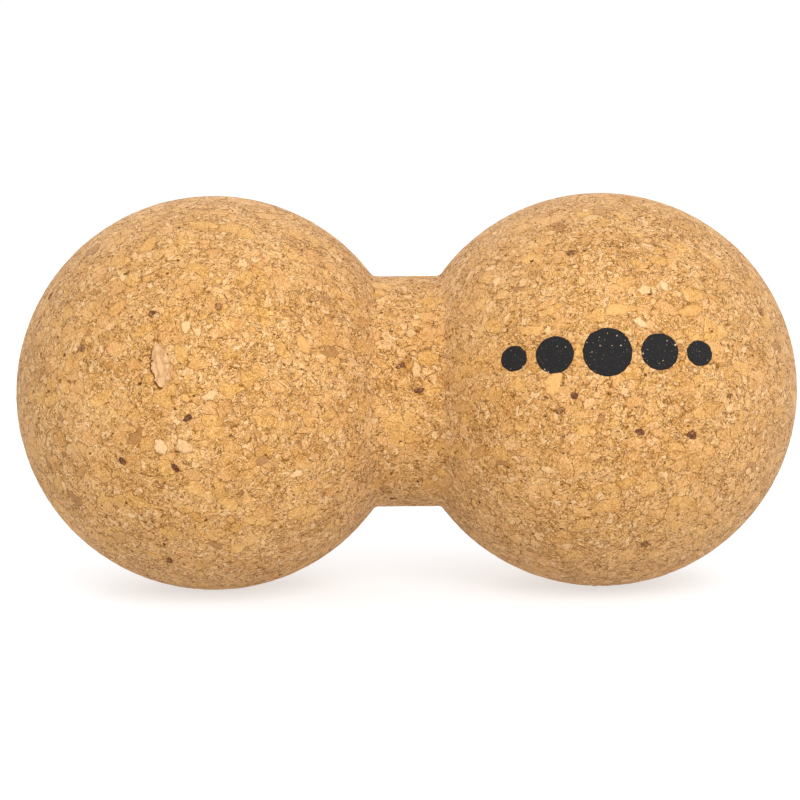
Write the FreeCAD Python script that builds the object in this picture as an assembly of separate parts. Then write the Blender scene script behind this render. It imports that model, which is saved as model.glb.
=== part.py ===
import FreeCAD, Part

import math
import os

from FreeCAD import Vector

# A duo massage ball: two equal balls joined by a short neck, turned from one blank of
# agglomerated cork. The coarse granules that show in the surface are separate chips
# bedded in pockets of the body, and a row of printed dots sits on the right ball.
#
# Millimetres and degrees. +X runs along the turning axis, +Z is up and -Y is the front.
# The origin is on the floor, under the middle of the neck.

# The turned body
ball_diameter = 80.0
neck_diameter = 47.0
neck_length = 13.5  # between the two circles where neck and balls would meet unfilleted
neck_fillet = 1.5

# Granules: each is as deep as this where it is set in the surface
granule_depth = 1.2
granule_gap = 0.6  # least cork between two granules
granule_corners = 8

# Granules scattered over the rest of the surface
scattered_per_ball = 44
scattered_on_neck = 9
shortest_granule = 1.8
longest_granule = 3.8
neck_margin = 3.5  # kept free of scattered granules on both sides of the neck's ends

# Printed dots
dot_diameters = (5.0, 7.2, 9.4, 7.2, 5.0)
dot_gap = 1.6
ink_thickness = 0.08
print_azimuth = -3.0
print_elevation = 17.0
print_turn = 1.5

ball_radius = ball_diameter / 2
neck_radius = neck_diameter / 2
junction_offset = math.sqrt(ball_radius**2 - neck_radius**2)  # from a ball's centre
ball_spacing = neck_length + 2 * junction_offset  # between the centres of the two balls
golden_angle = 180 * (3 - math.sqrt(5))
proud = 2.0  # how far a cutting tool reaches past the surface

# Granules with a place of their own on a ball: kind, ball, azimuth and elevation of the
# place as seen from the ball's centre (azimuth 0 is the front, positive towards +X),
# length, width, and how far the length is turned up from the horizontal.
BALL_GRANULES = [
    ("bark_fragment", "left", -12, 14, 11.2, 4.4, 98),
    ("pale_granules", "left", -5, 25, 2.6, 1.9, 70),
    ("pale_granules", "left", 2, 6, 3.8, 1.9, 20),
    ("pale_granules", "left", -5, -8, 3.6, 2.6, 160),
    ("pale_granules", "left", -12, -8, 3.4, 2.6, 80),
    ("pale_granules", "left", 27, -17, 2.8, 1.6, 10),
    ("amber_granules", "left", -27, 52, 5.2, 3.6, 60),
    ("amber_granules", "left", -29, 30, 5.0, 2.6, 30),
    ("amber_granules", "left", 30, 19, 4.2, 2.8, 120),
    ("red_brown_granules", "left", -4, 0, 2.2, 1.2, 20),
    ("red_brown_granules", "left", -8, -14, 2.4, 1.1, 130),
    ("red_brown_granules", "left", -16, 29, 1.7, 1.3, 30),
    ("red_brown_granules", "left", 5, 31, 1.8, 1.5, 100),
    ("pale_granules", "right", -10, 64, 5.0, 2.2, 5),
    ("pale_granules", "right", -33, 37, 2.6, 2.0, 150),
    ("pale_granules", "right", -44, 37, 2.4, 1.8, 60),
    ("pale_granules", "right", 7, 25, 3.4, 1.6, 145),
    ("pale_granules", "right", 10, 35, 2.8, 2.4, 10),
    ("pale_granules", "right", 17, 36, 2.4, 2.2, 90),
    ("pale_granules", "right", -20, -16, 3.6, 1.6, 170),
    ("amber_granules", "right", 0, 29, 5.4, 3.0, 20),
    ("amber_granules", "right", 24, 28, 6.0, 2.8, 15),
    ("amber_granules", "right", -18, 8, 5.0, 3.8, 70),
    ("red_brown_granules", "right", -17, 48, 2.2, 1.4, 40),
    ("red_brown_granules", "right", -12, 5, 1.8, 1.3, 20),
    ("red_brown_granules", "right", -16, 1, 1.9, 1.4, 10),
    ("red_brown_granules", "right", 6, -5, 2.0, 1.2, 150),
]

# Granules with a place of their own on the neck: kind, distance from the neck's middle,
# angle round the neck from the front, length, width and turn.
NECK_GRANULES = [
    ("pale_granules", 1.4, 17, 3.4, 2.0, 80),
    ("red_brown_granules", -1.6, 19, 2.2, 1.1, 20),
    ("red_brown_granules", 1.8, 7, 2.4, 1.1, 10),
    ("pale_granules", 0.4, 36, 2.8, 2.0, 20),
]

# The kinds of the scattered granules, in the turn they come up
SCATTERED_KINDS = [
    "pale_granules",
    "amber_granules",
    "pale_granules",
    "red_brown_granules",
    "amber_granules",
]


def fraction(value):
    """The part of a number after its decimal point: an even spread from 0 to 1."""
    return value - math.floor(value)


def ball_centre(side):
    """The centre of the left or the right ball."""
    x = ball_spacing / 2 if side == "right" else -ball_spacing / 2
    return Vector(x, 0, ball_radius)


def ball_direction(azimuth, elevation):
    """The unit vector from a ball's centre at this azimuth and elevation."""
    a = math.radians(azimuth)
    e = math.radians(elevation)
    return Vector(math.sin(a) * math.cos(e), -math.cos(a) * math.cos(e), math.sin(e))


def turned_body():
    """The two balls and the neck as one turned solid, with a fillet at each junction."""
    left = ball_centre("left")
    fillet_height = neck_radius + neck_fillet
    fillet_reach = ball_radius + neck_fillet
    fillet_offset = math.sqrt(fillet_reach**2 - fillet_height**2)
    fillet_centre = left + Vector(fillet_offset, 0, fillet_height)
    towards_fillet = (fillet_centre - left).normalize()
    ball_end = left + towards_fillet * ball_radius
    neck_start = fillet_centre - Vector(0, 0, neck_fillet)
    towards_corner = (towards_fillet * -1 + Vector(0, 0, -1)).normalize()
    fillet_middle = fillet_centre + towards_corner * neck_fillet
    pole = left - Vector(ball_radius, 0, 0)
    crown = left + Vector(0, 0, ball_radius)

    def mirrored(point):
        return Vector(-point.x, point.y, point.z)

    edges = [
        Part.Arc(pole, crown, ball_end).toShape(),
        Part.Arc(ball_end, fillet_middle, neck_start).toShape(),
        Part.LineSegment(neck_start, mirrored(neck_start)).toShape(),
        Part.Arc(mirrored(neck_start), mirrored(fillet_middle), mirrored(ball_end)).toShape(),
        Part.Arc(mirrored(ball_end), mirrored(crown), mirrored(pole)).toShape(),
        Part.LineSegment(mirrored(pole), pole).toShape(),
    ]
    profile = Part.Face(Part.Wire(edges))
    return profile.revolve(left, Vector(1, 0, 0), 360)


def granule_tool(spot, outward, length, width, turn):
    """An irregular prism, from granule_depth below the surface to well above it."""
    across = Vector(1, 0, 0) - outward * outward.x
    if across.Length < 0.1:
        across = Vector(0, 1, 0) - outward * outward.y
    across.normalize()
    upward = outward.cross(across) * -1
    if upward.z < 0:
        upward = upward * -1
    t = math.radians(turn)
    along = across * math.cos(t) + upward * math.sin(t)
    aside = outward.cross(along)
    corners = []
    for k in range(granule_corners):
        uneven = fraction(7.31 * k + 0.173 * turn + 2.9 * length)
        angle = 2 * math.pi * (k + 0.5 * uneven) / granule_corners
        reach = 0.78 + 0.22 * fraction(3.7 * uneven + 0.41 * k)
        corners.append(
            spot
            + along * (length / 2 * reach * math.cos(angle))
            + aside * (width / 2 * reach * math.sin(angle))
            - outward * granule_depth
        )
    outline = Part.Wire(Part.makePolygon(corners + corners[:1]))
    return Part.Face(outline).extrude(outward * (granule_depth + proud))


def chosen_granules():
    """The granules with places of their own, as (kind, spot, outward, length, width, turn)."""
    found = []
    for kind, side, azimuth, elevation, length, width, turn in BALL_GRANULES:
        outward = ball_direction(azimuth, elevation)
        spot = ball_centre(side) + outward * ball_radius
        found.append((kind, spot, outward, length, width, turn))
    for kind, x, angle, length, width, turn in NECK_GRANULES:
        a = math.radians(angle)
        outward = Vector(0, -math.cos(a), math.sin(a))
        spot = Vector(x, 0, ball_radius) + outward * neck_radius
        found.append((kind, spot, outward, length, width, turn))
    return found


def scattered_granules():
    """Granules spread over both balls and the neck on golden-angle spirals."""
    found = []

    def add(count, spot, outward):
        kind = SCATTERED_KINDS[count % len(SCATTERED_KINDS)]
        share = fraction(0.618 * count + 0.29)
        length = shortest_granule + (longest_granule - shortest_granule) * share**2
        width = length * (0.5 + 0.35 * fraction(0.755 * count))
        found.append((kind, spot, outward, length, width, 137 * count % 180))

    for side, inward in (("left", 1), ("right", -1)):
        for k in range(scattered_per_ball):
            share = (k + 0.5) / scattered_per_ball
            x = -ball_radius + share * (ball_radius + junction_offset - neck_margin)
            ring = math.sqrt(ball_radius**2 - x**2)
            wander = 25 * fraction(0.37 * k)
            a = math.radians(k * golden_angle + wander + 70 * inward)
            offset = Vector(inward * x, -ring * math.cos(a), ring * math.sin(a))
            outward = Vector(offset).normalize()
            add(k + 3 * inward, ball_centre(side) + offset, outward)
    for k in range(scattered_on_neck):
        side = 1 if k % 2 else -1
        x = side * fraction(0.618 * k) * (neck_length / 2 - neck_margin)
        a = math.radians(60 + 270 * k / scattered_on_neck)
        outward = Vector(0, -math.cos(a), math.sin(a))
        add(k, Vector(x, 0, ball_radius) + outward * neck_radius, outward)
    return found


def clear_granules():
    """The chosen granules, and the scattered ones that keep clear of those before them."""
    kept = chosen_granules()
    for granule in scattered_granules():
        reach = granule[3] / 2 + granule_gap
        if all((granule[1] - k[1]).Length > reach + k[3] / 2 for k in kept):
            kept.append(granule)
    return kept


def printed_dots():
    """The ink dots: thin films on the right ball, printed straight along one direction."""
    centre = ball_centre("right")
    outward = ball_direction(print_azimuth, print_elevation)
    sideways = Vector(0, 0, 1).cross(outward).normalize()
    upward = outward.cross(sideways)
    t = math.radians(print_turn)
    along = sideways * math.cos(t) + upward * math.sin(t)
    film = Part.makeSphere(ball_radius + ink_thickness, centre)
    film = film.cut(Part.makeSphere(ball_radius, centre))
    row_length = sum(dot_diameters) + dot_gap * (len(dot_diameters) - 1)
    place = -row_length / 2
    dots = []
    for diameter in dot_diameters:
        middle = centre + along * (place + diameter / 2)
        column = Part.makeCylinder(diameter / 2, ball_radius + proud, middle, outward)
        dots += film.common(column).Solids
        place += diameter + dot_gap
    return dots


def write(node, solids):
    """Write one node's solids to its file."""
    shape = solids[0] if len(solids) == 1 else Part.makeCompound(solids)
    shape.exportStep(os.path.join("parts", node + ".step"))


def main():
    os.makedirs("parts", exist_ok=True)
    blank = turned_body()
    nodes = {}
    tools = []
    for kind, spot, outward, length, width, turn in clear_granules():
        tool = granule_tool(spot, outward, length, width, turn)
        tools.append(tool)
        nodes.setdefault(kind, []).extend(blank.common(tool).Solids)
    nodes["cork_body"] = blank.cut(tools).Solids
    nodes["printed_dots"] = printed_dots()
    for node, solids in nodes.items():
        write(node, solids)


main()
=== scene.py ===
"""The looks of a duo massage ball of agglomerated cork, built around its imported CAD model.

Metres, +X along the turning axis, +Z up, -Y the front, the origin on the floor under the neck.
Materials and relief work in millimetres of the resting surface, kept in each mesh as "place".
"""

import math

import bmesh
import bpy
import numpy as np
from mathutils import Matrix, Vector, noise


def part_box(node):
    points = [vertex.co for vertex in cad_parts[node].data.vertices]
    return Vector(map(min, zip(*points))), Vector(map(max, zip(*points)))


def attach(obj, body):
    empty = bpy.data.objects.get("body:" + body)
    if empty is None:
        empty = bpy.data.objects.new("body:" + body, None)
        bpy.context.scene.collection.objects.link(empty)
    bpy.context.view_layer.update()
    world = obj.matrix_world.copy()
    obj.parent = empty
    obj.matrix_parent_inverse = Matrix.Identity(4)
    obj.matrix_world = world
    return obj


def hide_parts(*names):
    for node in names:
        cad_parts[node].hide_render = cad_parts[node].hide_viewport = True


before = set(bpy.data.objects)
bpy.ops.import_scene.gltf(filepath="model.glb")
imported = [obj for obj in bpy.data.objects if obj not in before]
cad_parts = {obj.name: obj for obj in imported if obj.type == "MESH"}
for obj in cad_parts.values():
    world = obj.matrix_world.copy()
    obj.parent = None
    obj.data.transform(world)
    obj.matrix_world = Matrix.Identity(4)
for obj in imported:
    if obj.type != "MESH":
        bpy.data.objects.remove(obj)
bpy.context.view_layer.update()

MM = 0.001
FULL_TURN = 2 * math.pi

# Sizes worked out from the CAD model
body_low, body_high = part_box("cork_body")
ball_radius = (body_high.z - body_low.z) / 2
axis_height = (body_high.z + body_low.z) / 2
ball_offset = (body_high.x - body_low.x) / 2 - ball_radius  # of a ball's centre, along X
neck_search = ball_offset - ball_radius * math.cos(math.radians(30))  # the neck is thickest there


def neck_size():
    """The neck's radius, from the CAD body's points near its middle."""
    points = [v.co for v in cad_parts["cork_body"].data.vertices if abs(v.co.x) < neck_search]
    return max(math.hypot(p.y, p.z - axis_height) for p in points)


neck_radius = neck_size()
neck_half = ball_offset - math.sqrt(ball_radius**2 - neck_radius**2)
neck_fillet = 1.5 * MM

# Mesh fineness
skin_segments = 384  # round the thickest part of a ball; it halves 5 times towards the poles
fewest_segments = 12
skin_step = 0.67 * MM  # along the turned outline
chip_rings = 6
chip_edge_steps = 5  # between two corners of the CAD granule
dot_step = 0.35 * MM

# How the granules and the ink stand to the surface
chip_proud = 0.02 * MM
chip_sag = 0.1 * MM  # how much lower a chip's rim is than its middle
chip_foot = 0.45 * MM  # how deep a chip's sides reach
underside_depth = 0.3 * MM  # a CAD granule's corners below this are its underside's
bed_depth = 0.22 * MM
bed_at_rim = 0.6  # share of the depth that the bed has at a chip's rim
bed_margin = 0.6  # mm beside the rim over which one whole depth is lost
rim_width = 0.25  # mm of dark binder round a chip
ink_proud = 0.06 * MM
ink_foot = 0.15 * MM
ink_fray = 0.12 * MM

# Linear colours of edges, crevices and flecks
crack_brown = (0.16, 0.055, 0.012)
dark_edge = (0.09, 0.030, 0.010)
soft_edge = (0.20, 0.08, 0.015)
crevice_brown = (0.20, 0.068, 0.0)
pit_brown = (0.125, 0.036, 0.0)
pale_fleck = (0.74, 0.49, 0.25)
bark_fleck = (0.26, 0.11, 0.04)


# ---------------------------------------------------------------- node trees


class Wire:
    """A socket of a node tree that takes part in sums like a number or a vector."""

    def __init__(self, graph, socket):
        self.graph = graph
        self.socket = socket

    def __add__(self, other):
        return self.graph.calculate("ADD", self, other)

    def __sub__(self, other):
        return self.graph.calculate("SUBTRACT", self, other)

    def __rsub__(self, other):
        return self.graph.calculate("SUBTRACT", other, self)

    def __mul__(self, other):
        return self.graph.calculate("MULTIPLY", self, other)

    __radd__ = __add__


class Graph:
    """Makes and links nodes in one shader or geometry tree."""

    def __init__(self, tree):
        self.tree = tree

    def node(self, kind, **settings):
        made = self.tree.nodes.new(kind)
        for name, value in settings.items():
            setattr(made, name, value)
        return made

    def feed(self, socket, value):
        """Link a wire to a socket, or set the socket to a number, vector or colour."""
        if isinstance(value, Wire):
            self.tree.links.new(value.socket, socket)
        elif socket.type in {"VECTOR", "RGBA"} and isinstance(value, (int, float)):
            socket.default_value = [value] * len(socket.default_value)
        else:
            socket.default_value = value

    def calculate(self, operation, *values):
        wide = any(
            isinstance(v, tuple) or isinstance(v, Wire) and v.socket.type in {"VECTOR", "RGBA"}
            for v in values
        )
        kind = "ShaderNodeVectorMath" if wide else "ShaderNodeMath"
        made = self.node(kind, operation=operation)
        for socket, value in zip(made.inputs, values):
            self.feed(socket, value)
        return Wire(self, made.outputs[0])

    def noise(self, place, scale, detail=2.0, roughness=0.5):
        """Smooth noise: (value from 0 to 1, three independent values as a colour)."""
        made = self.node("ShaderNodeTexNoise")
        self.feed(made.inputs["Vector"], place)
        self.feed(made.inputs["Scale"], scale)
        self.feed(made.inputs["Detail"], detail)
        self.feed(made.inputs["Roughness"], roughness)
        return Wire(self, made.outputs[0]), Wire(self, made.outputs[1])

    def cells(self, place, size):
        """Cells about size apart: (distance to the cell's seed in mm, three random values)."""
        made = self.node("ShaderNodeTexVoronoi")
        self.feed(made.inputs["Vector"], place)
        self.feed(made.inputs["Scale"], 1 / size)
        distance = Wire(self, made.outputs["Distance"]) * size
        return distance, Wire(self, made.outputs["Color"])

    def cell_edges(self, place, size):
        """The distance in mm to the nearest edge between the same cells."""
        made = self.node("ShaderNodeTexVoronoi", feature="DISTANCE_TO_EDGE")
        self.feed(made.inputs["Vector"], place)
        self.feed(made.inputs["Scale"], 1 / size)
        return Wire(self, made.outputs["Distance"]) * size

    def split(self, wide):
        """The three parts of a vector or colour."""
        made = self.node("ShaderNodeSeparateXYZ")
        self.feed(made.inputs[0], wide)
        return [Wire(self, s) for s in made.outputs]

    def span(self, value, low, high, first=0.0, last=1.0, smooth=True):
        """value from low..high onto first..last, held at the ends."""
        kind = "SMOOTHSTEP" if smooth else "LINEAR"
        made = self.node("ShaderNodeMapRange", interpolation_type=kind)
        for name, amount in (
            ("Value", value),
            ("From Min", low),
            ("From Max", high),
            ("To Min", first),
            ("To Max", last),
        ):
            self.feed(made.inputs[name], amount)
        return Wire(self, made.outputs["Result"])

    def mix(self, share, first, second):
        """A blend of two numbers."""
        made = self.node("ShaderNodeMix", data_type="FLOAT")
        for index, value in ((0, share), (2, first), (3, second)):
            self.feed(made.inputs[index], value)
        return Wire(self, made.outputs[0])

    def mix_wide(self, share, first, second):
        """A blend of two vectors or colours."""
        made = self.node("ShaderNodeMix", data_type="VECTOR")
        for index, value in ((0, share), (4, first), (5, second)):
            self.feed(made.inputs[index], value)
        return Wire(self, made.outputs[1])

    def ramp(self, value, *colours):
        """Colours spread evenly over value from 0 to 1."""
        made = self.node("ShaderNodeValToRGB")
        stops = made.color_ramp.elements
        while len(stops) < len(colours):
            stops.new(0.5)
        for k, colour in enumerate(colours):
            stops[k].position = k / (len(colours) - 1)
            stops[k].color = (*colour, 1.0)
        self.feed(made.inputs[0], value)
        return Wire(self, made.outputs[0])

    def turned(self, place, angles):
        """place turned by Euler angles that may differ from cell to cell."""
        made = self.node("ShaderNodeVectorRotate", rotation_type="EULER_XYZ")
        self.feed(made.inputs["Vector"], place)
        self.feed(made.inputs["Rotation"], angles)
        return Wire(self, made.outputs[0])


# ---------------------------------------------------------------- the cork's granules


def pits(g, place):
    """Small pits in the cork: 1 inside them, 0 outside."""
    spacing, largest = 1.7, 0.37
    distance, pick = g.cells(place * (1.0, 1.0, 1.6), spacing)
    share, size, _ = g.split(pick)
    radius = g.span(share, 0.56, 1.0, 0.0, largest, smooth=False) * (size + 0.4)
    return 1.0 - g.span(distance, radius * 0.5, radius + 0.02)


def cork_field(g, place):
    """Coarse, fine and crumb granules with slivers among them, their crevices and the pits.

    A part of the coarse cells is broken into fine ones, and a part of those into crumbs.
    """
    _, drift = g.noise(place, 0.35, 2)
    _, fray = g.noise(place, 1.4, 2)
    _, fuzz = g.noise(place, 5.0, 2)
    bent = place + (drift - 0.5) * 2.6 + (fray - 0.5) * 0.9 + (fuzz - 0.5) * 0.2
    coarse_size, fine_size, crumb_size, sliver_size = 2.9, 1.7, 0.95, 1.1
    flake = (0.7, 1.2, 1.2)  # granules lie as flakes, longer one way
    splinter = (0.4, 1.5, 1.5)
    broken_above, crumbled_above, sliver_above = 0.3, 0.6, 0.66  # of a cell's random value
    no_edge = 9.0  # mm, farther than any cell is wide
    flat = bent * (0.92, 0.92, 1.2)
    _, coarse = g.cells(flat, coarse_size)
    fine_place = g.turned(bent, coarse * FULL_TURN) * flake
    _, fine = g.cells(fine_place, fine_size)
    crumb_place = g.turned(bent, fine * FULL_TURN) * flake
    _, crumb = g.cells(crumb_place, crumb_size)
    sliver_place = g.turned(bent, coarse * -FULL_TURN) * splinter
    _, sliver = g.cells(sliver_place, sliver_size)
    coarse_edge = g.cell_edges(flat, coarse_size)
    fine_edge = g.cell_edges(fine_place, fine_size)
    crumb_edge = g.cell_edges(crumb_place, crumb_size)
    sliver_edge = g.cell_edges(sliver_place, sliver_size)
    coarse_pick, _, _ = g.split(coarse)
    _, fine_pick, _ = g.split(fine)
    _, _, sliver_pick = g.split(sliver)
    broken = g.calculate("GREATER_THAN", coarse_pick, broken_above)
    crumbled = broken * g.calculate("GREATER_THAN", fine_pick, crumbled_above)
    split_off = broken * g.calculate("GREATER_THAN", sliver_pick, sliver_above)
    identity = g.mix_wide(broken, coarse, fine)
    identity = g.mix_wide(crumbled, identity, crumb)
    identity = g.mix_wide(split_off, identity, sliver)
    edge = g.calculate("MINIMUM", coarse_edge, g.mix(broken, no_edge, fine_edge * 1.2))
    edge = g.calculate("MINIMUM", edge, g.mix(crumbled, no_edge, crumb_edge * 1.4 + 0.02))
    edge = g.mix(split_off, edge, sliver_edge)
    opening, _ = g.noise(place, 1.1, 3, 0.7)
    widest, soft_rim = 0.16, 0.005
    width = g.span(opening, 0.45, 0.72, 0.0, widest, smooth=False)
    crevice = 1.0 - g.span(edge, width * 0.4, width + soft_rim)
    # Painted highlight: a thin band just outside each open crevice, lightened as if the granule's edge
    # caught the light
    painted_highlight = g.span(edge, width + 0.16, width + 0.02) * g.span(width, 0.0, 0.03)
    return {
        "identity": identity,
        "crevice": crevice,
        "painted_highlight": painted_highlight,
        "pit": pits(g, place + (fray - 0.5) * 0.9 + (fuzz - 0.5) * 0.5),
        "bent": bent,
        "edge": edge,
        "broken": broken,
    }


def relief_tree():
    """A geometry tree that presses the coarse granules' relief into a mesh, along its normals."""
    tree = bpy.data.node_groups.new("cork_relief", "GeometryNodeTree")
    tree.interface.new_socket("Geometry", in_out="INPUT", socket_type="NodeSocketGeometry")
    tree.interface.new_socket("Geometry", in_out="OUTPUT", socket_type="NodeSocketGeometry")
    g = Graph(tree)
    named = g.node("GeometryNodeInputNamedAttribute", data_type="FLOAT_VECTOR")
    named.inputs["Name"].default_value = "place"
    place = Wire(g, named.outputs["Attribute"])
    field = cork_field(g, place)
    _, level, _ = g.split(field["identity"])
    swell, _ = g.noise(place, 0.5, 3, 0.6)
    seam = g.span(field["edge"], 0.35, 0.0)
    height = (level - 0.5) * 0.05 + (swell - 0.5) * 0.16  # mm
    height = height - seam * 0.03 - field["pit"] * 0.1 - 0.03
    normal = Wire(g, g.node("GeometryNodeInputNormal").outputs[0])
    move = g.node("GeometryNodeSetPosition")
    g.feed(move.inputs["Offset"], normal * (height * MM))
    start = g.node("NodeGroupInput")
    end = g.node("NodeGroupOutput")
    tree.links.new(start.outputs[0], move.inputs["Geometry"])
    tree.links.new(move.outputs[0], end.inputs[0])
    return tree


def principled(name):
    """A new material: (material, graph, its Principled node)."""
    material = bpy.data.materials.new(name)
    material.use_nodes = True
    nodes = material.node_tree.nodes
    return material, Graph(material.node_tree), nodes["Principled BSDF"]


def place_wire(g):
    """The resting place in mm that the mesh keeps."""
    made = g.node("ShaderNodeAttribute", attribute_name="place")
    return Wire(g, made.outputs["Vector"])


def number_wire(g, name):
    """A number that the mesh keeps under this name."""
    made = g.node("ShaderNodeAttribute", attribute_name=name)
    return Wire(g, made.outputs["Fac"])


def grain(g, place, identity, length, width):
    """Fine streaks that run in a different direction in each granule."""
    turned = g.turned(place, identity * FULL_TURN)
    stretched = turned * (1 / length, 1 / width, 1 / width)
    value, _ = g.noise(stretched, 1.0, 1, 0.6)
    return g.span(value, 0.3, 0.7)


def bump(g, shader, height):
    """Shade a height in mm."""
    made = g.node("ShaderNodeBump")
    made.inputs["Distance"].default_value = MM
    g.feed(made.inputs["Height"], height)
    g.tree.links.new(made.outputs["Normal"], shader.inputs["Normal"])


def mottling(g, place):
    """Uneven tones inside the granules, about -0.5 to 0.5, and their fine part from 0 to 1."""
    mottle, _ = g.noise(place, 1.7, 3, 0.7)
    speck, _ = g.noise(place, 3.4, 3, 0.75)
    return (mottle - 0.5) * 0.65 + (speck - 0.5) * 0.97, speck


def cork_material():
    """Agglomerated cork: tan granules, dark crevices and pits, pale and red-brown flecks."""
    material, g, shader = principled("agglomerated_cork")
    place = place_wire(g)
    field = cork_field(g, place)
    tone, hue, rare = g.split(field["identity"])
    streaks = grain(g, field["bent"], field["identity"], 1.5, 0.17)
    patch, _ = g.noise(place, 0.11, 2)
    cloud, _ = g.noise(place, 0.3, 3, 0.6)
    mottle, speck = mottling(g, place)
    mottle = mottle * g.mix(field["broken"], 0.65, 1.0)
    shade = 0.52 + (tone - 0.5) * g.mix(field["broken"], 0.22, 0.32) + (streaks - 0.5) * 0.48
    shade = shade + mottle + (patch - 0.5) * 0.4 + (cloud - 0.5) * 0.5
    # Painted shade: each granule darker towards its edge over 0.3 mm, and the painted highlight
    # lightens the band beside a crevice
    shade = shade - g.span(field["edge"], 0.3, 0.0) * 0.12 + field["painted_highlight"] * 0.08
    colour = g.ramp(
        shade,
        (0.250, 0.100, 0.012),
        (0.430, 0.205, 0.042),
        (0.600, 0.322, 0.104),
        (0.700, 0.408, 0.158),
        (0.765, 0.487, 0.225),
    )
    gold_share = g.span(patch * 0.4 + cloud * 0.6 + (hue - 0.5) * 0.5, 0.3, 0.75)
    rosy, golden = (1.0, 0.99, 1.15), (1.0, 1.005, 0.98)
    colour = colour * g.mix_wide(gold_share, rosy, golden)
    pale_share = g.span(rare, 0.93, 0.97) * field["broken"] * 0.6
    colour = g.mix_wide(pale_share, colour, pale_fleck)
    bark_share = g.span(rare, 0.03, 0.015) * 0.6
    colour = g.mix_wide(bark_share, colour, bark_fleck)
    rim = number_wire(g, "rim")
    opening, _ = g.noise(place, 1.1, 2)
    rim_line = rim * g.span(opening, 0.45, 0.6)
    crevice = g.calculate("MAXIMUM", field["crevice"] * 0.82, rim_line * 0.7)
    colour = g.mix_wide(crevice, colour, crevice_brown)
    colour = g.mix_wide(field["pit"] * 0.9, colour, pit_brown)
    g.feed(shader.inputs["Base Color"], colour)
    roughness = 0.75 + (tone - 0.5) * 0.16 + field["crevice"] * 0.2
    g.feed(shader.inputs["Roughness"], roughness)
    dust = 1.0 - g.calculate("MAXIMUM", crevice, field["pit"])  # none lies in the crevices
    g.feed(shader.inputs["Specular IOR Level"], dust * 0.06)
    g.feed(shader.inputs["Sheen Weight"], dust * 0.13)
    shader.inputs["Sheen Roughness"].default_value = 0.4
    height = (hue - 0.5) * 0.05 + streaks * 0.05 + mottle * 0.12 + speck * 0.02
    height = height - field["crevice"] * 0.10 - field["pit"] * 0.25
    bump(g, shader, height)
    return material


def granule_material(name, tones, edge_colour, edge_share, contrast, ring_rate=48.0, banding=0.3):
    """One kind of coarse granule: its tones from dark to pale, streaked by growth rings."""
    material, g, shader = principled(name)
    place = place_wire(g)
    tone = number_wire(g, "tone")
    edge = number_wire(g, "edge")
    crack = number_wire(g, "crack")
    bend, _ = g.noise(place * (1.0, 1.0, 0.3), 0.6, 2)
    rings = g.calculate("SINE", bend * ring_rate + tone * 20.0) * 0.5 + 0.5
    mottle, speck = mottling(g, place)
    shade = 0.5 + (tone - 0.5) * 0.5 + (rings - 0.5) * banding + mottle * contrast
    colour = g.ramp(shade, *tones)
    blot, _ = g.noise(place, 1.3, 2)
    edge_line = edge * g.span(blot, 0.42, 0.62) * edge_share
    edge_line = g.calculate("MAXIMUM", edge_line, g.span(crack + (blot - 0.5) * 1.2, 0.22, 0.36))
    colour = g.mix_wide(edge_line, colour, edge_colour)
    g.feed(shader.inputs["Base Color"], colour)
    g.feed(shader.inputs["Roughness"], 0.6 + speck * 0.25)
    shader.inputs["Specular IOR Level"].default_value = 0.2
    bump(g, shader, rings * 0.02 + mottle * 0.1 - edge_line * 0.1)
    return material


def ink_material():
    """Black printing ink, worn to small specks where the cork shows through."""
    material, g, shader = principled("black_ink")
    place = place_wire(g)
    speck, _ = g.noise(place, 3.4, 4, 0.7)
    fine, _ = g.noise(place, 9.0, 2)
    distance, pick = g.cells(place + speck * 0.4, 0.8)
    share, size, _ = g.split(pick)
    largest_hole = 0.24
    hole_radius = g.span(share, 0.55, 1.0, 0.0, largest_hole, smooth=False) * (size + 0.3)
    worn = 1.0 - g.span(distance, hole_radius * 0.5, hole_radius + 0.02)
    worn = g.calculate("MAXIMUM", worn * 0.9, g.span(speck + fine * 0.22, 0.76, 0.83) * 0.8)
    ink = g.mix_wide(fine, (0.004, 0.004, 0.004), (0.022, 0.020, 0.020))
    bare_cork = (0.70, 0.52, 0.34)
    g.feed(shader.inputs["Base Color"], g.mix_wide(worn, ink, bare_cork))
    g.feed(shader.inputs["Roughness"], 0.45 + speck * 0.4)
    shader.inputs["Specular IOR Level"].default_value = 0.16
    bump(g, shader, speck * 0.3 - worn * 0.06)
    return material


def floor_material():
    """A plain white floor, lit from below like a light table."""
    material, g, shader = principled("white_floor")
    place = Wire(g, g.node("ShaderNodeTexCoord").outputs["Object"])
    soft, _ = g.noise(place, 3.0, 1)
    duller, lighter = (0.40, 0.41, 0.425), (0.41, 0.42, 0.435)
    g.feed(shader.inputs["Base Color"], g.mix_wide(soft, duller, lighter))
    shader.inputs["Roughness"].default_value = 0.9
    shader.inputs["Specular IOR Level"].default_value = 0.0
    shader.inputs["Emission Color"].default_value = (1.0, 1.0, 1.0, 1.0)
    shader.inputs["Emission Strength"].default_value = 0.62
    return material


# ---------------------------------------------------------------- shapes


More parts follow.
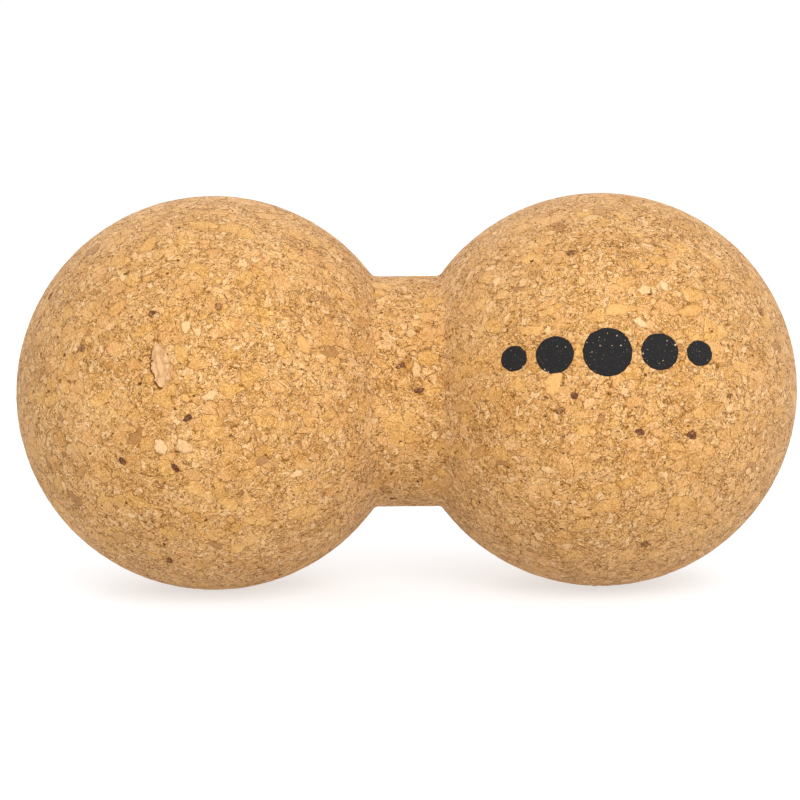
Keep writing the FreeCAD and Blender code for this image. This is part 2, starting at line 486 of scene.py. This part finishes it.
def body_profile():
    """The turned outline from the left pole to the right, as (x, distance from the axis)."""
    fillet_height = neck_radius + neck_fillet  # of its centre, above the axis
    corner = math.sqrt((ball_radius + neck_fillet) ** 2 - fillet_height**2)
    corner_angle = math.atan2(fillet_height, corner)  # at the ball's centre
    half = []
    ball_arc = math.pi - corner_angle
    steps = round(ball_radius * ball_arc / skin_step)
    for k in range(steps + 1):
        a = ball_arc * k / steps
        half.append((-ball_offset - ball_radius * math.cos(a), ball_radius * math.sin(a)))
    fillet_arc = math.pi / 2 - corner_angle
    steps = max(3, round(neck_fillet * fillet_arc / skin_step * 2))
    for k in range(1, steps + 1):
        a = corner_angle + fillet_arc * k / steps
        x = -ball_offset + corner - neck_fillet * math.cos(a)
        half.append((x, fillet_height - neck_fillet * math.sin(a)))
    straight = ball_offset - corner
    steps = round(straight / skin_step)
    for k in range(1, steps + 1):
        half.append((-straight + straight * k / steps, neck_radius))
    return half + [(-x, r) for x, r in reversed(half[:-1])]


def turned_mesh(name):
    """The turned outline as a closed mesh, with fewer segments where it is thin."""
    pole = 0.0001 * MM
    points, rings = [], []
    for x, r in body_profile():
        if r < pole:
            rings.append([len(points)])
            points.append((x, 0.0, axis_height))
            continue
        count = skin_segments
        while count > fewest_segments and FULL_TURN * r / count < 0.6 * skin_step:
            count //= 2
        rings.append(list(range(len(points), len(points) + count)))
        for k in range(count):
            a = FULL_TURN * k / count
            points.append((x, r * math.sin(a), axis_height - r * math.cos(a)))
    faces = []
    for left, right in zip(rings, rings[1:]):
        faces += bridge(left, right)
    mesh = bpy.data.meshes.new(name)
    mesh.from_pydata(points, [], faces)
    return mesh


def bridge(left, right):
    """The faces between two neighbouring rings, one of which may have half the segments."""
    if len(left) < len(right):
        return [tuple(reversed(face)) for face in bridge(right, left)]
    n, m = len(left), len(right)
    if m == 1:
        return [(left[k], left[(k + 1) % n], right[0]) for k in range(n)]
    if m == n:
        return [(left[k], left[(k + 1) % n], right[(k + 1) % n], right[k]) for k in range(n)]
    faces = []
    for k in range(m):
        a, b, c = left[2 * k], left[2 * k + 1], left[(2 * k + 2) % n]
        d, e = right[k], right[(k + 1) % m]
        faces += [(a, b, d), (b, e, d), (b, c, e)]
    return faces


def surface_at(point):
    """The nearest point of the plain turned surface and its outward normal."""
    if abs(point.x) < neck_half:
        outward = Vector((0.0, point.y, point.z - axis_height)).normalized()
        return Vector((point.x, 0.0, axis_height)) + outward * neck_radius, outward
    centre = Vector((math.copysign(ball_offset, point.x), 0.0, axis_height))
    outward = (point - centre).normalized()
    return centre + outward * ball_radius, outward


def depth_below(point):
    """How far a point is below the plain turned surface."""
    spot, outward = surface_at(point)
    return (spot - point).dot(outward)


def new_piece(name, mesh, material):
    """A smooth object with one material, riding on the one CAD body."""
    mesh.update()
    for polygon in mesh.polygons:
        polygon.use_smooth = True
    mesh.materials.append(material)
    piece = bpy.data.objects.new(name, mesh)
    bpy.context.scene.collection.objects.link(piece)
    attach(piece, "root")
    return piece


def loops_after(start, count, rings):
    """The numbers of a middle point and of the rings of count points that follow it."""
    firsts = [start + 1 + ring * count for ring in range(rings)]
    return [[start]] + [list(range(first, first + count)) for first in firsts]


def keep_places(mesh):
    """Keep every point's resting place, in mm, for the materials and the relief."""
    places = np.empty(len(mesh.vertices) * 3)
    mesh.vertices.foreach_get("co", places)
    mesh.attributes.new("place", "FLOAT_VECTOR", "POINT").data.foreach_set("vector", places / MM)


def keep_numbers(mesh, name, values):
    """Keep a number for every point, for the materials."""
    mesh.attributes.new(name, "FLOAT", "POINT").data.foreach_set("value", values)


def press_relief(mesh, tree):
    """The same mesh with the cork's relief pressed into it."""
    carrier = bpy.data.objects.new("carrier", mesh)
    bpy.context.scene.collection.objects.link(carrier)
    modifier = carrier.modifiers.new("relief", "NODES")
    modifier.node_group = tree
    pressed = bpy.data.meshes.new_from_object(
        carrier.evaluated_get(bpy.context.evaluated_depsgraph_get())
    )
    pressed.name = mesh.name
    bpy.data.objects.remove(carrier)
    bpy.data.meshes.remove(mesh)
    return pressed


# ---------------------------------------------------------------- coarse granules


class Chip:
    """One coarse granule: its frame on the surface and its outline, from a CAD solid."""

    def __init__(self, corners, outward_hint):
        middle = sum(corners, Vector()) / len(corners)
        self.spot, self.outward = surface_at(middle + outward_hint)
        across = Vector((0.0, 0.0, 1.0)).cross(self.outward)
        if across.length < 0.1:
            across = Vector((0.0, 1.0, 0.0)).cross(self.outward)
        self.across = across.normalized()
        self.upward = self.outward.cross(self.across)
        flat = [self.flatten(c) for c in corners]
        flat.sort(key=lambda p: math.atan2(p[1], p[0]))
        self.outline = self.weathered(flat)
        self.tone = 0.5  # until chips_of draws one

    def flatten(self, point):
        """A point's place in the chip's own plane."""
        offset = point - self.spot
        return offset.dot(self.across), offset.dot(self.upward)

    def weathered(self, corners):
        """The outline with its edges divided, its corners softened and its line frayed."""
        dense = []
        for (ax, ay), (bx, by) in zip(corners, corners[1:] + corners[:1]):
            for k in range(chip_edge_steps):
                t = k / chip_edge_steps
                dense.append(Vector((ax + (bx - ax) * t, ay + (by - ay) * t)))
        count = len(dense)
        soft = [(dense[k - 1] + dense[k] * 2 + dense[(k + 1) % count]) / 4 for k in range(count)]
        frayed = []
        for p in soft:
            seed = Vector((p.x, p.y, 0.0)) / MM
            wave = noise.noise(seed / 1.1 + self.spot / MM) * 0.34  # 1.1 mm long
            wave += noise.noise(seed / 0.45 + self.spot / MM) * 0.2
            frayed.append(p * (1.08 + wave))
        return frayed

    def leftward(self):
        """The direction across the chip's length, towards its left."""
        longest = max(self.outline, key=lambda p: p.length)
        across = Vector((-longest.y, longest.x)).normalized()
        return across if across.x < 0 else -across

    def reach(self, angles):
        """How far the outline is from the middle at these angles."""
        a = np.array([math.atan2(p.y, p.x) for p in self.outline])
        r = np.array([p.length for p in self.outline])
        order = np.argsort(a)
        return np.interp(angles, a[order], r[order], period=FULL_TURN)


def solids_of(node):
    """The corners of each separate solid in a CAD node, as lists of points."""
    shape = bmesh.new()
    shape.from_mesh(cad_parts[node].data)
    bmesh.ops.remove_doubles(shape, verts=shape.verts, dist=0.001 * MM)
    shape.verts.index_update()
    seen = set()
    for first in shape.verts:
        if first.index in seen:
            continue
        seen.add(first.index)
        corners, todo = [], [first]
        while todo:
            vertex = todo.pop()
            corners.append(vertex.co.copy())
            for edge in vertex.link_edges:
                other = edge.other_vert(vertex)
                if other.index not in seen:
                    seen.add(other.index)
                    todo.append(other)
        yield corners
    shape.free()


def chips_of(node):
    """The chips that the solids of a CAD node stand for."""
    chips = []
    for points in solids_of(node):
        middle = sum(points, Vector()) / len(points)
        outward = surface_at(middle)[1]
        corners = [p for p in points if depth_below(p) > underside_depth]
        chips.append(Chip(corners, outward * MM))
    chips.sort(key=lambda c: (round(c.spot.x, 5), round(c.spot.z, 5)))
    for chip in chips:
        chip.tone = noise.random_unit_vector().x * 0.5 + 0.5
    return chips


def chip_mesh(name, chips, cracked):
    """Closed low domes that follow the surface, one for each chip, cracked or not on the left."""
    points, faces, tones, edges, cracks = [], [], [], [], []
    for chip in chips:
        count = len(chip.outline)
        start = len(points)
        leftward = chip.leftward()
        half_width = max(p.dot(leftward) for p in chip.outline)
        height = max(abs(p.y) for p in chip.outline)

        def put(flat, lift, edge):
            rough = chip.spot + chip.across * flat.x + chip.upward * flat.y
            spot, outward = surface_at(rough)
            points.append(spot + outward * lift)
            tones.append(chip.tone)
            edges.append(edge)
            leftness = max(0.0, flat.dot(leftward) / half_width)
            cracks.append(edge * leftness * (0.7 - 0.5 * flat.y / height) if cracked else 0.0)

        put(Vector((0.0, 0.0)), chip_proud, 0.0)
        for ring in range(1, chip_rings + 1):
            share = ring / chip_rings
            for p in chip.outline:
                put(p * share, chip_proud - chip_sag * share**6, share**4)
        for p in chip.outline:
            put(p * 1.03, -chip_foot, 1.0)
        put(Vector((0.0, 0.0)), -chip_foot - 0.05 * MM, 0.0)
        loops = loops_after(start, count, chip_rings + 1) + [[len(points) - 1]]
        for inner, outer in zip(loops, loops[1:]):
            faces += bridge(outer, inner)
    mesh = bpy.data.meshes.new(name)
    mesh.from_pydata(points, [], faces)
    keep_places(mesh)
    keep_numbers(mesh, "tone", tones)
    keep_numbers(mesh, "edge", edges)
    keep_numbers(mesh, "crack", cracks)
    return mesh


def bed_chips(mesh, chips):
    """Press a bed for every chip into the body, and keep how near each rim is."""
    count = len(mesh.vertices)
    places = np.empty(count * 3)
    mesh.vertices.foreach_get("co", places)
    places = places.reshape(-1, 3)
    rim = np.zeros(count)
    sink = np.zeros(count)
    chip_search = 8 * MM  # farther than any chip reaches
    for chip in chips:
        offset = places - np.array(chip.spot)
        near = np.nonzero((offset**2).sum(1) < chip_search**2)[0]
        x = offset[near] @ np.array(chip.across)
        y = offset[near] @ np.array(chip.upward)
        beyond = (np.hypot(x, y) - chip.reach(np.arctan2(y, x))) / MM
        rim[near] = np.maximum(rim[near], np.exp(-((beyond / rim_width) ** 2)))
        sink[near] = np.maximum(sink[near], np.clip(bed_at_rim - beyond / bed_margin, 0.0, 1.0))
    keep_numbers(mesh, "rim", rim)
    normals = np.empty(count * 3)
    mesh.vertices.foreach_get("normal", normals)
    places -= normals.reshape(-1, 3) * sink[:, None] * bed_depth
    mesh.vertices.foreach_set("co", places.ravel())


# ---------------------------------------------------------------- printed dots


def span_of(values):
    """The middle and half the width of some numbers."""
    return (min(values) + max(values)) / 2, (max(values) - min(values)) / 2


def dot_mesh(name, node):
    """The printed dots as closed films that follow the cork, one for each CAD dot."""
    points, faces = [], []
    centre = Vector((ball_offset, 0.0, axis_height))
    dots = []
    for corners in solids_of(node):
        low = [min(c[k] for c in corners) for k in range(3)]
        high = [max(c[k] for c in corners) for k in range(3)]
        dots.append((corners, (Vector(low) + Vector(high)) / 2))
    direction = (sum((middle for _, middle in dots), Vector()) / len(dots) - centre).normalized()
    across = Vector((0.0, 0.0, 1.0)).cross(direction).normalized()
    upward = direction.cross(across)
    for corners, _ in dots:
        u, radius = span_of([(c - centre).dot(across) for c in corners])
        v, _ = span_of([(c - centre).dot(upward) for c in corners])
        rings = round(radius / dot_step)
        segments = 8 * rings
        rims = []
        for lift in (-ink_foot, ink_proud):
            start = len(points)
            for ring in range(rings + 1):
                for k in range(segments if ring else 1):
                    a = FULL_TURN * k / segments
                    around = Vector((math.cos(a), math.sin(a), u / MM))
                    ragged = noise.noise(around * radius / MM * 1.3)
                    size = radius * ring / rings * (1.0 + ink_fray / radius * ragged)
                    x = u + size * math.cos(a)
                    y = v + size * math.sin(a)
                    ahead = math.sqrt((ball_radius + lift) ** 2 - x**2 - y**2)
                    points.append(centre + across * x + upward * y + direction * ahead)
            loops = loops_after(start, segments, rings)
            skin = []
            for inner, outer in zip(loops, loops[1:]):
                skin += bridge(outer, inner)
            faces += skin if lift > 0 else [tuple(reversed(f)) for f in skin]
            rims.append(loops[-1])
        faces += bridge(*rims)
    mesh = bpy.data.meshes.new(name)
    mesh.from_pydata(points, [], faces)
    keep_places(mesh)
    return mesh


# ---------------------------------------------------------------- the object


def make_object():
    """Every visible piece of the massage ball."""
    relief = relief_tree()
    bark_tones = (0.37, 0.18, 0.07), (0.52, 0.30, 0.135), (0.66, 0.41, 0.21)
    pale_tones = (0.50, 0.28, 0.11), (0.61, 0.375, 0.165), (0.70, 0.47, 0.25)
    amber_tones = (0.40, 0.18, 0.04), (0.58, 0.31, 0.098), (0.66, 0.38, 0.14)
    red_tones = (0.06, 0.016, 0.006), (0.145, 0.052, 0.020), (0.40, 0.20, 0.070)
    kinds = {
        "bark_fragment": granule_material(
            "bark", bark_tones, crack_brown, edge_share=0.3, contrast=0.8, ring_rate=26.0, banding=0.55
        ),
        "pale_granules": granule_material(
            "pale_cork", pale_tones, soft_edge, edge_share=0.6, contrast=1.0
        ),
        "amber_granules": granule_material(
            "amber_cork", amber_tones, soft_edge, edge_share=0.5, contrast=0.7
        ),
        "red_brown_granules": granule_material(
            "red_brown_cork", red_tones, dark_edge, edge_share=0.6, contrast=2.4
        ),
    }
    noise.seed_set(3559)
    all_chips = []
    for node, material in kinds.items():
        chips = chips_of(node)
        all_chips += chips
        mesh = chip_mesh(node + "_chips", chips, cracked=node == "bark_fragment")
        piece = new_piece(node + "_chips", mesh, material)
        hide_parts(node)

    mesh = turned_mesh("cork_skin")
    keep_places(mesh)
    bed_chips(mesh, all_chips)
    mesh = press_relief(mesh, relief)
    skin = new_piece("cork_skin", mesh, cork_material())
    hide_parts("cork_body")

    mesh = press_relief(dot_mesh("ink_dots", "printed_dots"), relief)
    dots = new_piece("ink_dots", mesh, ink_material())
    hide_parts("printed_dots")


# ---------------------------------------------------------------- the studio


def soft_light(name, spot, aim, size, watts):
    """A square area light at spot, facing aim."""
    lamp = bpy.data.lights.new(name, "AREA")
    lamp.shape = "SQUARE"
    lamp.size = size
    lamp.energy = watts
    holder = bpy.data.objects.new(name, lamp)
    holder.location = spot
    holder.rotation_euler = (Vector(aim) - Vector(spot)).to_track_quat("-Z", "Y").to_euler()
    holder.visible_camera = False
    bpy.context.scene.collection.objects.link(holder)


def make_studio():
    """A white floor in a white room, with a soft light above the front and a weaker one behind."""
    mesh = bpy.data.meshes.new("studio_floor")
    side = 6.0
    corners = [(-side, -side, 0), (side, -side, 0), (side, side, 0), (-side, side, 0)]
    mesh.from_pydata(corners, [], [(0, 1, 2, 3)])
    mesh.materials.append(floor_material())
    studio_floor = bpy.data.objects.new("studio_floor", mesh)
    bpy.context.scene.collection.objects.link(studio_floor)

    world = bpy.data.worlds.new("white_room")
    world.use_nodes = True
    background = world.node_tree.nodes["Background"]
    background.inputs["Color"].default_value = (1.0, 1.0, 1.0, 1.0)
    background.inputs["Strength"].default_value = 1.02
    bpy.context.scene.world = world
    middle = Vector((0.0, 0.0, axis_height))
    soft_light("front_top_light", (0.17, -0.65, 0.46), middle, 0.5, 5.0)
    soft_light("back_light", (-0.25, 0.80, 0.55), middle, 0.6, 3.2)


def make_camera():
    """The photograph's view: the front, from half a metre away and a little above."""
    lens, distance = 112.0, 0.5075
    azimuth, elevation, roll = -0.9, 7.0, 0.4
    aim = Vector((-1.45 * MM, 0.0, axis_height - 1.8 * MM))
    a, e = math.radians(azimuth), math.radians(elevation)
    back = Vector((math.sin(a) * math.cos(e), -math.cos(a) * math.cos(e), math.sin(e)))
    data = bpy.data.cameras.new("camera")
    data.lens = lens
    data.sensor_width = 36.0
    data.clip_start = 0.01
    camera = bpy.data.objects.new("camera", data)
    facing = (-back).to_track_quat("-Z", "Y")
    turn = Matrix.Rotation(math.radians(-roll), 4, "Z")
    spot = Matrix.Translation(aim + back * distance)
    camera.matrix_world = spot @ facing.to_matrix().to_4x4() @ turn
    bpy.context.scene.collection.objects.link(camera)
    bpy.context.scene.camera = camera


make_object()
make_studio()
make_camera()
bpy.context.scene.view_settings.view_transform = "Standard"
